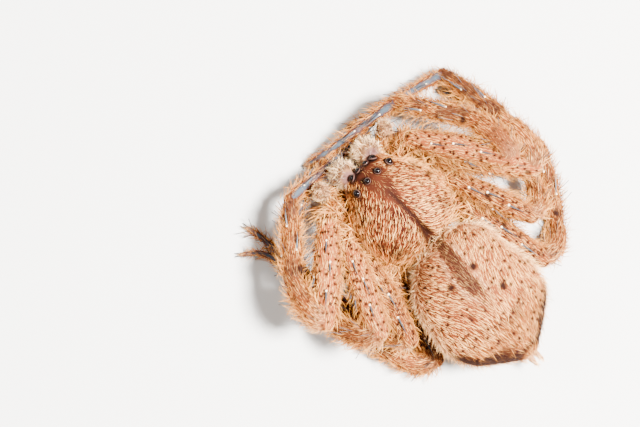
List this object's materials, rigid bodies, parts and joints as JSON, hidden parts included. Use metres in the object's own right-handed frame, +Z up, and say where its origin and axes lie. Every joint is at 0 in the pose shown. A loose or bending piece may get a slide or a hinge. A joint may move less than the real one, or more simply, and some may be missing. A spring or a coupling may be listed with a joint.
{
  "type": "huntsman spider",
  "caption": "Hairy huntsman spider crouched flat with its legs folded back at the knees and its feet drawn in beside the head, a still life-size model",
  "frame": {"origin": "centre of the outer box, on the floor the spider rests on", "axes": "+Z up from the floor; the head faces -Y and the spinnerets +Y; the spider's left side is +X"},
  "size_m": [0.0264, 0.0264, 0.0084],
  "materials": {
    "coat": "matte, dense short hair",
    "cream_coat": "matte, long pale hair",
    "bare_skin": "bare skin at the leg bases",
    "fang": "polished, hard",
    "eye": "wet gloss"
  },
  "bodies": {
    "root": {"abdomen": "coat", "cephalothorax": "coat", "chelicera_l": "cream_coat", "chelicera_r": "cream_coat", "eye_anterior_lateral_l": "eye", "eye_anterior_lateral_r": "eye", "eye_anterior_median_l": "eye", "eye_anterior_median_r": "eye", "eye_posterior_lateral_l": "eye", "eye_posterior_lateral_r": "eye", "eye_posterior_median_l": "eye", "eye_posterior_median_r": "eye", "fang_l": "fang", "fang_r": "fang", "leg_l1_coxa": "bare_skin", "leg_l1_femur": "coat", "leg_l1_foot": "coat", "leg_l1_patella": "coat", "leg_l1_tibia": "coat", "leg_l2_coxa": "bare_skin", "leg_l2_femur": "coat", "leg_l2_foot": "coat", "leg_l2_patella": "coat", "leg_l2_tibia": "coat", "leg_l3_coxa": "bare_skin", "leg_l3_femur": "coat", "leg_l3_foot": "coat", "leg_l3_patella": "coat", "leg_l3_tibia": "coat", "leg_l4_coxa": "bare_skin", "leg_l4_femur": "coat", "leg_l4_foot": "coat", "leg_l4_patella": "coat", "leg_l4_tibia": "coat", "leg_r1_coxa": "bare_skin", "leg_r1_femur": "coat", "leg_r1_foot": "coat", "leg_r1_patella": "coat", "leg_r1_tibia": "coat", "leg_r2_coxa": "bare_skin", "leg_r2_femur": "coat", "leg_r2_foot": "coat", "leg_r2_patella": "coat", "leg_r2_tibia": "coat", "leg_r3_coxa": "bare_skin", "leg_r3_femur": "coat", "leg_r3_foot": "coat", "leg_r3_patella": "coat", "leg_r3_tibia": "coat", "leg_r4_coxa": "bare_skin", "leg_r4_femur": "coat", "leg_r4_foot": "coat", "leg_r4_patella": "coat", "leg_r4_tibia": "coat", "palp_l_arm": "coat", "palp_l_tarsus": "cream_coat", "palp_r_arm": "coat", "palp_r_tarsus": "cream_coat", "spinnerets": "cream_coat"}
  },
  "joints": []
}
